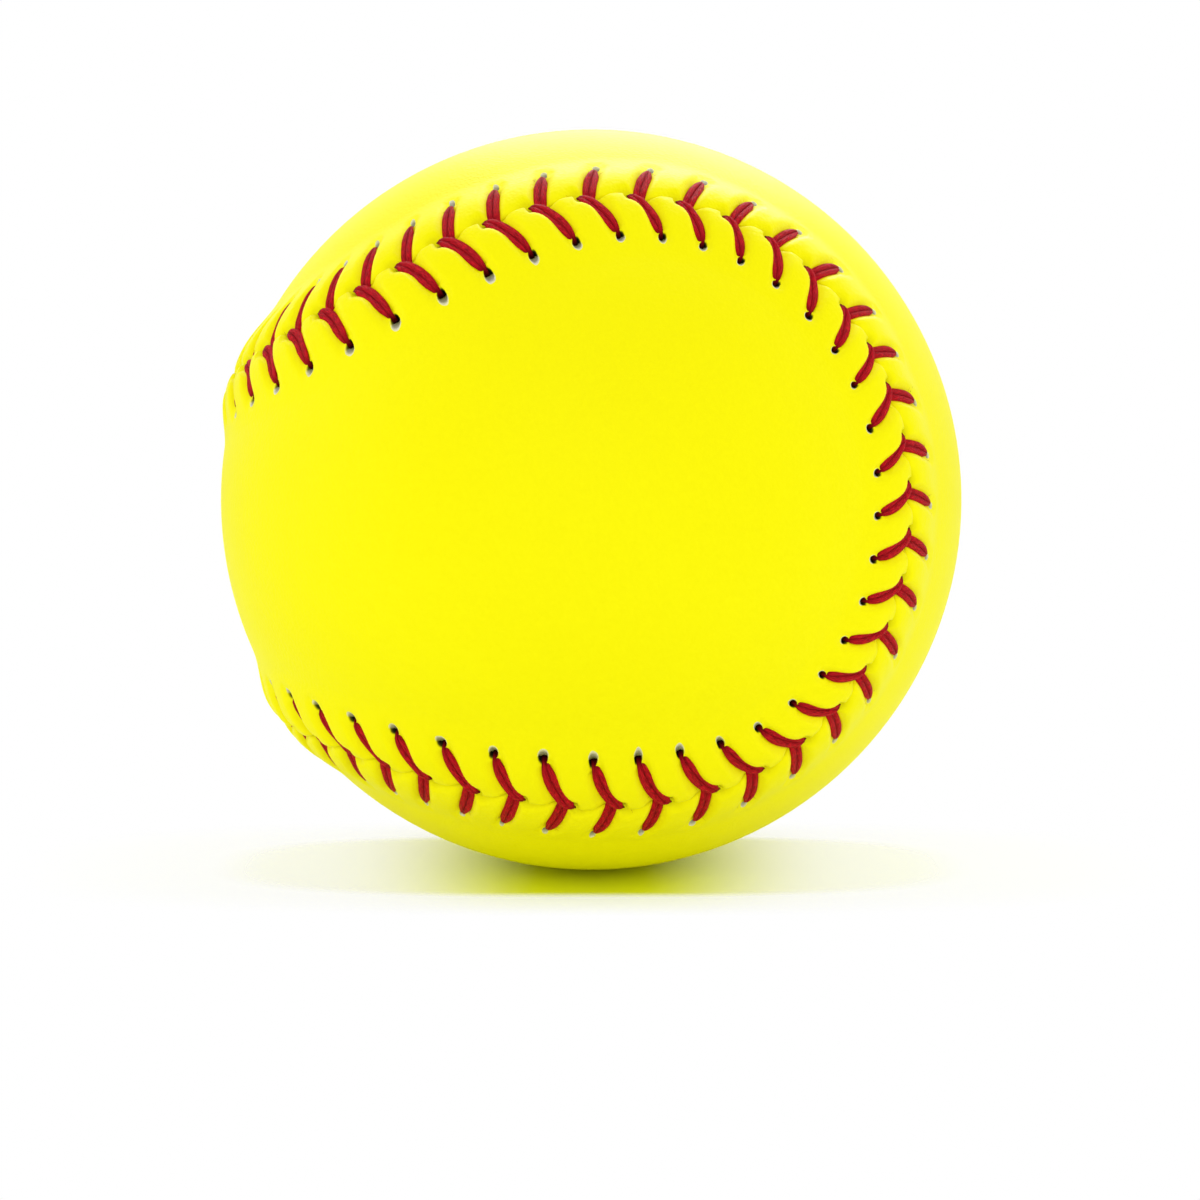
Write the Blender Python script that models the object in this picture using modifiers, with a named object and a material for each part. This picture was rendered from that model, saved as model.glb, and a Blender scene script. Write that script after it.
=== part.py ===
# Twelve-inch training softball: foam core, cement, two laced cover panels and their thread
import math
from bisect import bisect_right

import bmesh
import bpy
from mathutils import Vector

# Size of the ball, in metres
CIRCUMFERENCE = 0.3048      # round the cover, clear of the seam
BALL_RADIUS = CIRCUMFERENCE / (2 * math.pi)

# Layers under the cover
LEATHER_THICKNESS = 0.0015
CEMENT_THICKNESS = 0.0004
FIT_GAP = 0.0003            # between layers that touch on the real ball
FACET_SAG = 0.0006          # how far a shell's flat facets dip below the true sphere

# Path of the seam
NECK_WIDTH = 0.0442         # across the waist of each figure-eight panel
SEAM_SWING = 0.545          # how far the seam swings past the equator
SEAM_SAMPLES = 1840

# Lacing pattern
STITCH_COUNT = 92
FIRST_STITCH = 0.00035      # from the seam's start to its first stitch
HOLE_INSET = 0.0062         # needle hole to the middle of the seam
HOLE_LAG = 0.0031           # needle hole behind the point of its stitch
HOLE_SIZE = 0.0012

# Puckered edge of each panel, as heights over the ball
CREST_INSET = 0.0023        # seam to the top of the ridge
CREST_RISE = 0.0012         # leather puffed up between two stitches
CREST_DIP = 0.0001          # leather held down under a stitch
EDGE_RISE = 0.0006          # panel's edge between two stitches
EDGE_DIP = 0.0001           # panel's edge where the threads go down
HOLE_RISE = 0.0005
RIDGE_WIDTH = 0.0105        # seam to where the leather lies flat
EDGE_GAP = 0.0004           # between the two panels' edges
THREAD_MOUTH = 0.0016       # opening that the threads pull at each stitch

# Facets of the layers
LOBE_REACH = math.radians(110)      # waist to the centre of each lobe
SPINE_POINTS = 20
LOBE_ROWS = 3                       # between a ridge and its spine, evenly apart
FULL_ROWS = 1                       # rows of a panel that keep a station for each stitch
CORE_RINGS = 16

# Waxed thread
THREAD_RADIUS = 0.00055     # where it lies free on the leather
THREAD_PULLED = 0.00030     # where it is pulled through a hole
THREAD_GAP = 0.00018        # thread to leather
THREAD_SPLIT = 0.0011       # between the two threads in one opening
KNOT_RADIUS = 0.00050
KNOT_SETBACK = 0.45         # share of the last pass under the leather that is left off
KNOT_TAIL = 0.7             # share of what is left where the thread starts to thicken

# How the ball lies, as turns about X, Y and Z in degrees
BALL_LIE = (-102.7, 47.2, 68.75)

# Colours and finishes: red, green, blue, then roughness
YELLOW_LEATHER = (0.86, 0.90, 0.02, 0.42)
RED_THREAD = (0.52, 0.015, 0.03, 0.50)
FOAM = (0.78, 0.74, 0.62, 0.85)
CEMENT = (0.62, 0.48, 0.22, 0.35)

# Radii that follow from the layers
LEATHER_INSIDE = BALL_RADIUS - LEATHER_THICKNESS
CEMENT_OUTSIDE = LEATHER_INSIDE - FIT_GAP - FACET_SAG
CORE_RADIUS = CEMENT_OUTSIDE - CEMENT_THICKNESS - FIT_GAP - FACET_SAG
THREAD_UNDER = LEATHER_INSIDE + EDGE_DIP - THREAD_GAP - THREAD_PULLED
CEMENT_INSET = RIDGE_WIDTH + FIT_GAP
SEAM_RISE = (1 - SEAM_SWING) / math.tan(NECK_WIDTH / 2 / BALL_RADIUS)


def clear_scene():
    """Remove whatever the scene holds at the start."""
    for item in list(bpy.data.objects):
        bpy.data.objects.remove(item, do_unlink=True)


def make_material(name, finish):
    """Plain material with a colour and a roughness."""
    material = bpy.data.materials.new(name)
    material.use_nodes = True
    shader = material.node_tree.nodes["Principled BSDF"]
    shader.inputs["Base Color"].default_value = (*finish[:3], 1.0)
    shader.inputs["Roughness"].default_value = finish[3]
    shader.inputs["Metallic"].default_value = 0.0
    return material


# The seam is one closed curve that swings round the ball like a tennis ball's line


def seam_direction(turn):
    """Direction from the ball's centre to the seam at a turn from 0 to 2 pi."""
    x = math.cos(turn) + SEAM_SWING * math.cos(3 * turn)
    y = math.sin(turn) - SEAM_SWING * math.sin(3 * turn)
    z = SEAM_RISE * math.sin(2 * turn)
    return Vector((x, y, z)).normalized()


def measure_seam():
    """Length along the seam at each of its samples, on the ball's surface."""
    lengths = [0.0]
    before = seam_direction(0)
    for sample in range(1, SEAM_SAMPLES + 1):
        here = seam_direction(2 * math.pi * sample / SEAM_SAMPLES)
        lengths.append(lengths[-1] + BALL_RADIUS * before.angle(here))
        before = here
    return lengths


SEAM_LENGTHS = measure_seam()
SEAM_LENGTH = SEAM_LENGTHS[-1]
STITCH_PITCH = SEAM_LENGTH / STITCH_COUNT


def over_seam(along, inset, radius):
    """Point at a length along the seam and a distance to its front side."""
    along %= SEAM_LENGTH
    sample = min(bisect_right(SEAM_LENGTHS, along), SEAM_SAMPLES) - 1
    share = (along - SEAM_LENGTHS[sample]) / (SEAM_LENGTHS[sample + 1] - SEAM_LENGTHS[sample])
    turn = 2 * math.pi * (sample + share) / SEAM_SAMPLES
    step = math.pi / SEAM_SAMPLES
    here = seam_direction(turn)
    forward = seam_direction(turn + step) - seam_direction(turn - step)
    across = here.cross(forward).normalized()
    angle = inset / BALL_RADIUS
    return (here * math.cos(angle) + across * math.sin(angle)) * radius


def stitch_point(stitch):
    """Length along the seam of the point of one stitch."""
    return FIRST_STITCH + stitch * STITCH_PITCH


def hole_place(stitch):
    """Length along the seam of the two needle holes of one stitch."""
    return stitch_point(stitch) - HOLE_LAG


# A cover panel is a loft of rows that follow its edge, closed along its spine


def beside_seam(spots, side, radius):
    """Points from their lengths along the seam, insets from it and heights over a radius."""
    return [over_seam(along, side * inset, radius + rise) for along, inset, rise in spots]


def panel_rows(side):
    """Rows of one panel, from its edge at the seam to the foot of its ridge."""
    near = HOLE_INSET - HOLE_SIZE / 2
    far = HOLE_INSET + HOLE_SIZE / 2
    edge, crest, hole_near, hole_far, foot = [], [], [], [], []
    for stitch in range(STITCH_COUNT):
        puff = hole_place(stitch)
        dip = stitch_point(stitch)
        left = puff - HOLE_SIZE / 2
        right = puff + HOLE_SIZE / 2
        edge += [(puff, EDGE_GAP / 2, EDGE_RISE), (dip, THREAD_MOUTH / 2, EDGE_DIP)]
        crest += [(puff, CREST_INSET, CREST_RISE), (dip, CREST_INSET, CREST_DIP)]
        hole_near += [(left, near, HOLE_RISE), (right, near, HOLE_RISE)]
        hole_far += [(left, far, HOLE_RISE), (right, far, HOLE_RISE)]
        foot.append((puff, RIDGE_WIDTH, 0))
    rows = (edge, crest, hole_near, hole_far, foot)
    return [beside_seam(row, side, BALL_RADIUS) for row in rows]


def spine_direction(angle, side):
    """Direction to a panel's spine, an arc over its waist from lobe to lobe."""
    lobe = Vector((-1, side, 0)).normalized()
    return Vector((0, 0, side)) * math.cos(angle) + lobe * math.sin(angle)


def spine_angle(point, side):
    """Angle along the spine of the place across from a point of the panel."""
    lobe = Vector((-1, side, 0)).normalized()
    angle = math.atan2(point.dot(lobe), point.z * side)
    return max(-LOBE_REACH, min(LOBE_REACH, angle))


def spine_points(side, radius):
    """Points of a panel's spine at even steps."""
    points = []
    for number in range(SPINE_POINTS):
        angle = LOBE_REACH * (2 * number / (SPINE_POINTS - 1) - 1)
        points.append(spine_direction(angle, side) * radius)
    return points


def nearest_on_spine(point, side):
    """Number of the spine point that lies across from a point of a row."""
    share = (spine_angle(point, side) / LOBE_REACH + 1) / 2
    return round(share * (SPINE_POINTS - 1))


def lobe_row(outer, side, share, radius):
    """Row part of the way from a row of the panel to its spine."""
    row = []
    for point in outer:
        partner = spine_direction(spine_angle(point, side), side)
        row.append(point.normalized().slerp(partner, share) * radius)
    return row


def add_row(mesh, points):
    """Vertices of one row."""
    return [mesh.verts.new(point) for point in points]


def steps_between(first, last, count):
    """Numbers from first to last along a row, or across the place where the row closes."""
    if abs(last - first) > count / 2:
        return [first, last]
    step = 1 if last >= first else -1
    return list(range(first, last + step, step))


def join_rows(mesh, outer, inner, partners):
    """Triangles from a closed row to an inner row that holds each outer vertex's partner."""
    for number, here in enumerate(outer):
        after = (number + 1) % len(outer)
        there = outer[after]
        path = steps_between(partners[number], partners[after], len(inner))
        corners = [inner[place] for place in path]
        reach = [(here.co - corner.co).length + (there.co - corner.co).length
                 for corner in corners]
        tip = reach.index(min(reach))
        mesh.faces.new((here, there, corners[tip]))
        for place in range(len(corners) - 1):
            base = here if place < tip else there
            mesh.faces.new((base, corners[place + 1], corners[place]))


def fill_lobes(mesh, ring, border, side, radius, first_row):
    """Rows from a ring of a panel to its spine, and the faces between them."""
    for number in range(first_row, LOBE_ROWS + 1):
        stations = STITCH_COUNT if number <= FULL_ROWS else STITCH_COUNT // 2
        thinning = len(border) // stations
        kept = border[::thinning][:stations]
        partners = [min(place // thinning, stations - 1) for place in range(len(border))]
        row = add_row(mesh, lobe_row(kept, side, number / (LOBE_ROWS + 1), radius))
        join_rows(mesh, ring, row, partners)
        ring, border = row, kept
    across = [nearest_on_spine(point, side) for point in border]
    join_rows(mesh, ring, add_row(mesh, spine_points(side, radius)), across)


def face_outwards(mesh):
    """Turn all the faces away from the ball's centre."""
    bmesh.ops.recalc_face_normals(mesh, faces=mesh.faces)
    if sum(face.normal.dot(face.calc_center_median()) for face in mesh.faces) < 0:
        bmesh.ops.reverse_faces(mesh, faces=mesh.faces)


def finish_piece(name, data, material, collection, lie):
    """Object of a piece, in its collection and turned with the ball."""
    piece = bpy.data.objects.new(name, data)
    data.materials.append(material)
    collection.objects.link(piece)
    piece.parent = lie
    return piece


def finish_shell(name, mesh, thickness, material, collection, lie):
    """Piece with a wall that grows inwards from an open surface."""
    face_outwards(mesh)
    data = bpy.data.meshes.new(name)
    mesh.to_mesh(data)
    mesh.free()
    data.shade_smooth()
    piece = finish_piece(name, data, material, collection, lie)
    wall = piece.modifiers.new("Wall", "SOLIDIFY")
    wall.thickness = thickness
    wall.offset = -1


def make_panel(name, side, material, collection, lie):
    """Cover panel with its punched holes and puckered edge."""
    mesh = bmesh.new()
    rows = panel_rows(side)
    edge, crest, near, far, foot = [add_row(mesh, row) for row in rows]
    join_rows(mesh, edge, crest, list(range(len(edge))))
    for stitch in range(STITCH_COUNT):
        left, right = 2 * stitch, 2 * stitch + 1
        after = (right + 1) % len(crest)
        mesh.faces.new((crest[left], near[right], near[left]))
        mesh.faces.new((crest[left], crest[right], near[right]))
        mesh.faces.new((crest[right], near[after], near[right]))
        mesh.faces.new((crest[right], crest[after], near[after]))
        mesh.faces.new((near[right], near[after], far[after], far[right]))
    join_rows(mesh, far, foot, [number // 2 for number in range(len(far))])
    fill_lobes(mesh, foot, rows[-1], side, BALL_RADIUS, 1)
    finish_shell(name, mesh, LEATHER_THICKNESS, material, collection, lie)


def make_cement_film(name, side, material, collection, lie):
    """Film of cement under the flat part of a panel."""
    mesh = bmesh.new()
    spots = [(hole_place(stitch), CEMENT_INSET, 0) for stitch in range(0, STITCH_COUNT - 1, 2)]
    border = beside_seam(spots, side, CEMENT_OUTSIDE)
    ring = add_row(mesh, border)
    fill_lobes(mesh, ring, border, side, CEMENT_OUTSIDE, FULL_ROWS + 1)
    finish_shell(name, mesh, CEMENT_THICKNESS, material, collection, lie)


def make_core(material, collection, lie):
    """Solid foam ball."""
    mesh = bmesh.new()
    bmesh.ops.create_uvsphere(mesh, u_segments=2 * CORE_RINGS, v_segments=CORE_RINGS,
                              radius=CORE_RADIUS)
    data = bpy.data.meshes.new("core")
    mesh.to_mesh(data)
    mesh.free()
    data.shade_smooth()
    finish_piece("core", data, material, collection, lie)


# Each thread comes up through a hole, lies over the leather to the seam, goes down
# between the panels and passes under the other one to its next hole


def stitch_points(stitch, side):
    """Points and radii of one thread from under a hole to under the seam."""
    hole = hole_place(stitch)
    point = stitch_point(stitch) + side * THREAD_SPLIT / 2
    over_crest = (HOLE_INSET - CREST_INSET) / HOLE_INSET
    crest_along = hole + (point - hole) * over_crest
    crest_rise = CREST_RISE + (CREST_DIP - CREST_RISE) * over_crest
    hole_top = BALL_RADIUS + HOLE_RISE + THREAD_GAP + THREAD_PULLED
    crest_top = BALL_RADIUS + crest_rise + THREAD_GAP + THREAD_RADIUS
    seam_top = BALL_RADIUS + EDGE_DIP + THREAD_GAP + THREAD_PULLED
    return [
        (over_seam(hole, side * HOLE_INSET, THREAD_UNDER), THREAD_PULLED),
        (over_seam(hole, side * HOLE_INSET, hole_top), THREAD_PULLED),
        (over_seam(crest_along, side * CREST_INSET, crest_top), THREAD_RADIUS),
        (over_seam(point, 0, seam_top), THREAD_PULLED),
        (over_seam(point, 0, THREAD_UNDER), THREAD_PULLED),
    ]


def make_thread(name, first_side, material, collection, lie):
    """One thread of the lacing, with a stopper knot at its end."""
    points = []
    for stitch in range(STITCH_COUNT):
        side = first_side if stitch % 2 == 0 else -first_side
        points += stitch_points(stitch, side)
    last_point = points[-1][0]
    next_hole = over_seam(hole_place(STITCH_COUNT), -side * HOLE_INSET, THREAD_UNDER)
    knot = last_point.lerp(next_hole, 1 - KNOT_SETBACK)
    points += [(last_point.lerp(knot, KNOT_TAIL), THREAD_PULLED), (knot, KNOT_RADIUS)]
    data = bpy.data.curves.new(name, "CURVE")
    data.dimensions = "3D"
    data.bevel_depth = THREAD_RADIUS
    data.bevel_resolution = 0
    data.use_fill_caps = True
    spline = data.splines.new("POLY")
    spline.points.add(len(points) - 1)
    for control, (place, radius) in zip(spline.points, points):
        control.co = (*place, 1)
        control.radius = radius / THREAD_RADIUS
    finish_piece(name, data, material, collection, lie)


def build_ball():
    """Whole ball in its own collection."""
    clear_scene()
    collection = bpy.data.collections.new("training_softball")
    bpy.context.scene.collection.children.link(collection)
    lie = bpy.data.objects.new("ball_lie", None)
    lie.rotation_euler = [math.radians(angle) for angle in BALL_LIE]
    collection.objects.link(lie)
    leather = make_material("yellow_leather", YELLOW_LEATHER)
    thread = make_material("red_thread", RED_THREAD)
    make_core(make_material("foam", FOAM), collection, lie)
    cement = make_material("cement", CEMENT)
    make_cement_film("cement_film_front", 1, cement, collection, lie)
    make_cement_film("cement_film_back", -1, cement, collection, lie)
    make_panel("cover_panel_front", 1, leather, collection, lie)
    make_panel("cover_panel_back", -1, leather, collection, lie)
    make_thread("lacing_thread_first", 1, thread, collection, lie)
    make_thread("lacing_thread_second", -1, thread, collection, lie)


build_ball()
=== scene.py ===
# Training softball: optic yellow cover, red double stitching, white board under it
import math

import bpy
import numpy as np
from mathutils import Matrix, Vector


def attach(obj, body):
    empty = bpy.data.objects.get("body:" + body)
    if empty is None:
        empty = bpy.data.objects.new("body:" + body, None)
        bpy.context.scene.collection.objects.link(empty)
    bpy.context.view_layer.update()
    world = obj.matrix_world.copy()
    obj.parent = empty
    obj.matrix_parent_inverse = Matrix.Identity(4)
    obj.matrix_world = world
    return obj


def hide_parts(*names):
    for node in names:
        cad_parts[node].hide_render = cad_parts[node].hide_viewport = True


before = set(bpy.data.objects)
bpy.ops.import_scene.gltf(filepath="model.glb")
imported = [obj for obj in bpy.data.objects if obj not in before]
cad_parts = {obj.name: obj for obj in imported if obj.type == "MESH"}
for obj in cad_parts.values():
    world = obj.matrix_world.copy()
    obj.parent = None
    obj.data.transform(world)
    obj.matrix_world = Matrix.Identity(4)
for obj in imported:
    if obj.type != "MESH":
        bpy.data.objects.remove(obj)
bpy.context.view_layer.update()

# The cover is two figure-eight panels of synthetic leather, each cut from a sheet 1.5 mm thick
# with a pale woven backing. Each is punched along its edge, glued down and drawn in by the
# lacing, which puffs the leather up into a pillow between every two stitches.

BALL_RADIUS = 0.3048 / (2 * math.pi)
LEATHER_THICKNESS = 0.0015
NECK_WIDTH = 0.0442                 # across the waist of each panel
SEAM_SWING = 0.545                  # how far the seam swings past the equator
SEAM_RISE = (1 - SEAM_SWING) / math.tan(NECK_WIDTH / 2 / BALL_RADIUS)
SEAM_SAMPLES = 7360
BALL_LIE = (-102.7, 47.2, 68.75)    # turns about X, Y and Z in degrees
STITCH_COUNT = 92
FIRST_STITCH = 0.00035              # from the seam's start to its first stitch

# Each stitch has a leg on the front panel (1) and one on the back panel (-1), given as
# lengths along the seam from the stitch's mark and insets to the leg's own side
LEG_TIP = {1: (0.00045, 0.00010), -1: (-0.0010, -0.00035)}
LEG_HOLE = {1: (-0.0039, 0.0067), -1: (-0.0028, 0.0068)}
LEG_BEND = {1: (1.0, 1.8), -1: (1.37, 1.0)}
LEG_STEPS = 60

GROOVE_SHIFT = 0.00010              # the groove lies a little towards the front panel
GROOVE_REACH = 0.0025
SLIT_WIDTH = 0.00016                # opening at the point of each stitch
SLIT_LENGTH = 0.0004
SLIT_REACH = 0.0005
SLIT_PLACE = 0.0005
CREST_RISE = {1: 0.00152, -1: 0.00130}
CREST_INSET = 0.0022
SLOPE_INSET = 0.0022                # where the ridge starts to slope down
EDGE_SHARE = {1: 0.80, -1: 0.55}    # height of the edge against the crest
RIDGE_WIDTH = 0.0105
TROUGH_WIDTH = 0.00105
TROUGH_DEPTH = 0.93
TROUGH_STEEP = 3.0                  # near the seam, the front panel's pillow past each point is
TROUGH_GENTLE = 0.4                 # steeper and the one before it gentler, by these shares
TROUGH_REACH = 0.0025

COLUMNS_PER_STITCH = 24
COLUMN_THINNING = 6
EDGE_ROWS = 14
EDGE_CROWDING = 1.25                # rows lie closer together towards the seam
FOOT_ROWS = 6
LOBE_ROWS = 14
LOBE_REACH = math.radians(110)
SPINE_POINTS = 121
# Rows of the panel's edge: inset, height, darkness painted as shade of the groove
WALL_ROWS = ((0.00022, -0.00145, 1.0), (0.00010, -0.0010, 1.0), (0.00003, -0.0006, 0.6),
             (0.00001, -0.0002, 0.1))
INNER_INSETS = (0.0012, 0.0030, 0.0055, 0.0080, 0.0105)

HOLE_COLUMNS = 4                    # columns and rows cut out on each side of a hole
HOLE_ROWS = 3
HOLE_STEP = 0.00049
HOLE_LENGTH = {1: 0.00108, -1: 0.00066}
HOLE_SHORTEST = 0.8                 # share of its length that a hole has where nothing draws it
HOLE_STRETCH = 0.35                 # what the pull of the thread adds to that
HOLE_CREEP = 0.00025                # how much nearer to the seam the middle of a short hole is
HOLE_WIDTH = {1: 0.00060, -1: 0.00038}
HOLE_NARROWING = 0.35               # how much a hole narrows on its way down
HOLE_LEAN = math.radians(4)
RAGGED = 0.04                       # unevenness of its outline
TORN_FROM = -0.1                    # where the torn side of the outline starts and how soon
TORN_RAMP = 0.6                     # it is torn in full, as heights on a circle
FAR_WALL_RISE = 0.4                 # the torn far wall lies back, shows its pale cloth and gets less painted shade
FAR_WALL_PALE = 0.6
# Rings of a hole: size, height, darkness painted as shade inside the hole, backing that shows,
# shift towards the seam
HOLE_RINGS = ((1.16, 0.00006, 0.0, 0.0, 0.0), (1.07, 0.00008, 0.0, 1.0, 0.0),
              (0.95, 0.00005, 0.05, 1.0, 0.00002), (0.84, -0.00005, 0.4, 1.0, 0.00008),
              (0.70, -0.0002, 0.9, 1.0, 0.00022), (0.54, -0.0005, 1.0, 1.0, 0.00038),
              (0.38, -0.0009, 1.0, 0.8, 0.00055), (0.16, -0.0012, 1.0, 0.4, 0.00070))

# Hand sewing is uneven: a part of it is chance, the rest comes and goes with the pull of the
# thread, four times round the seam
SEWING_SEED = 92
PULLED_STITCH = 45                  # stitch where the thread pulls the seam aside the most
DRAWN_STITCH = 47.5                 # stitch where it draws the holes out the most
DRAWN_SHARPNESS = 2
STITCH_SLIP = 0.00014               # along the seam
SEAM_SWAY = 0.00010                 # across the seam
SWAY_BY_PULL = 0.00040
HOLE_SPREAD = 0.025                 # from seam to hole, as a share
SPREAD_BY_PULL = 0.05
FRONT_NEARER = 0.12                 # how much nearer the front panel's holes are to the seam,
FRONT_DRAWN = 0.31                  # and how much further where the thread draws them out
LEAST_TEAR = 0.75


def pull_from(stitch):
    """Pull on each stitch, 1 at the given one and -1 half way to the next like it."""
    return np.cos(2 * math.pi * (np.arange(STITCH_COUNT) - stitch) / (STITCH_COUNT / 4))


sewing = np.random.default_rng(SEWING_SEED)
slip = sewing.normal(0, STITCH_SLIP, STITCH_COUNT)
pull = pull_from(PULLED_STITCH)
sway = sewing.normal(0, SEAM_SWAY, STITCH_COUNT) - SWAY_BY_PULL * pull
drawn = np.exp(DRAWN_SHARPNESS * (pull_from(DRAWN_STITCH) - 1))
spread = {side: sewing.normal(0, HOLE_SPREAD, STITCH_COUNT) + SPREAD_BY_PULL * pull
          for side in (1, -1)}
spread[1] += FRONT_DRAWN * drawn - FRONT_NEARER
tear = {side: sewing.uniform(LEAST_TEAR, 1.0, STITCH_COUNT) for side in (1, -1)}


def seam_direction(turn):
    """Unit vectors from the ball's centre to the seam."""
    x = np.cos(turn) + SEAM_SWING * np.cos(3 * turn)
    y = np.sin(turn) - SEAM_SWING * np.sin(3 * turn)
    z = SEAM_RISE * np.sin(2 * turn)
    path = np.stack([x, y, z], axis=-1)
    return path / np.linalg.norm(path, axis=-1, keepdims=True)


seam_turns = np.linspace(0, 2 * math.pi, SEAM_SAMPLES + 1)
seam_steps = np.linalg.norm(np.diff(seam_direction(seam_turns), axis=0), axis=1)
seam_lengths = BALL_RADIUS * np.concatenate([[0], np.cumsum(seam_steps)])
SEAM_LENGTH = seam_lengths[-1]
PITCH = SEAM_LENGTH / STITCH_COUNT


def lie_matrix():
    """Turn of the ball as it lies in the photograph."""
    x, y, z = [math.radians(angle) for angle in BALL_LIE]
    about_x = np.array([[1, 0, 0], [0, math.cos(x), -math.sin(x)], [0, math.sin(x), math.cos(x)]])
    about_y = np.array([[math.cos(y), 0, math.sin(y)], [0, 1, 0], [-math.sin(y), 0, math.cos(y)]])
    about_z = np.array([[math.cos(z), -math.sin(z), 0], [math.sin(z), math.cos(z), 0], [0, 0, 1]])
    return about_z @ about_y @ about_x


LIE = lie_matrix()


def smooth(share):
    """Ease from 0 to 1."""
    share = np.clip(share, 0, 1)
    return share * share * (3 - 2 * share)


def per_stitch(values, along):
    """Value that goes smoothly from one stitch's to the next one's."""
    place = along / PITCH
    before = np.floor(place).astype(int)
    share = smooth(place - before)
    return values[before % STITCH_COUNT] * (1 - share) + values[(before + 1) % STITCH_COUNT] * share


def on_ball(along, inset, side, rise=0.0):
    """Points from lengths along the seam, insets to one side and heights over the ball."""
    along, inset, rise = np.broadcast_arrays(along, inset, rise)
    reach = side * inset * (1 + per_stitch(spread[side], along)) + per_stitch(sway, along)
    place = FIRST_STITCH + along + per_stitch(slip, along)
    turn = np.interp(np.mod(place, SEAM_LENGTH), seam_lengths, seam_turns)
    here = seam_direction(turn)
    step = math.pi / SEAM_SAMPLES
    forward = seam_direction(turn + step) - seam_direction(turn - step)
    across = np.cross(here, forward)
    across /= np.linalg.norm(across, axis=-1, keepdims=True)
    angle = (reach / BALL_RADIUS)[..., None]
    direction = here * np.cos(angle) + across * np.sin(angle)
    return direction * (BALL_RADIUS + rise)[..., None] @ LIE.T


def leg_path(side, share):
    """Middle of a leg from its tip, 0, to its hole, 1, as lengths and insets."""
    tip, hole, bend = LEG_TIP[side], LEG_HOLE[side], LEG_BEND[side]
    along = tip[0] + (hole[0] - tip[0]) * share ** bend[0]
    inset = tip[1] + (hole[1] - tip[1]) * share ** bend[1]
    return along, inset


def from_leg(along, inset, side):
    """Distances from places beside the seam to the nearest stitch leg."""
    nearest = np.full(np.shape(along), PITCH)
    for leg_side in (1, -1):
        leg_along, leg_inset = leg_path(leg_side, np.linspace(0, 1, LEG_STEPS))
        for a, b in zip(leg_along, leg_inset * leg_side * side):
            away = np.mod(along - a + PITCH / 2, PITCH) - PITCH / 2
            if side == 1:
                near = np.exp(-(inset / TROUGH_REACH) ** 2)
                away = away * (1 + near * np.where(away > 0, TROUGH_STEEP, -TROUGH_GENTLE))
            nearest = np.minimum(nearest, np.hypot(away, inset - b))
    return nearest


def groove(along, inset, side):
    """Inset counted from the seam's middle, from an inset counted from the groove."""
    shift = GROOVE_SHIFT * side
    away = np.mod(along - SLIT_PLACE + PITCH / 2, PITCH) - PITCH / 2
    slit = SLIT_WIDTH * np.exp(-(away / SLIT_LENGTH) ** 2) * np.exp(-(inset / SLIT_REACH) ** 2)
    return inset + shift * np.exp(-(inset / GROOVE_REACH) ** 2) + slit


def spine_direction(angle, side):
    """Directions to a panel's spine, an arc over its waist from lobe to lobe."""
    lobe = np.array([-1, side, 0]) / math.sqrt(2)
    waist = np.array([0, 0, side])
    return (np.cos(angle)[:, None] * waist + np.sin(angle)[:, None] * lobe) @ LIE.T


def spine_angle(points, side):
    """Angles along the spine of the places across from points of the panel."""
    flat = points @ LIE
    lobe = np.array([-1, side, 0]) / math.sqrt(2)
    angle = np.arctan2(flat @ lobe, flat[:, 2] * side)
    return np.clip(angle, -LOBE_REACH, LOBE_REACH)


def lobe_row(border, side, share, radius):
    """Row part of the way from a border to the panel's spine."""
    start = border / np.linalg.norm(border, axis=1, keepdims=True)
    end = spine_direction(spine_angle(border, side), side)
    between = np.arccos(np.clip((start * end).sum(1), -1, 1))[:, None]
    path = np.sin((1 - share) * between) * start + np.sin(share * between) * end
    return path / np.sin(between) * radius


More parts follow.
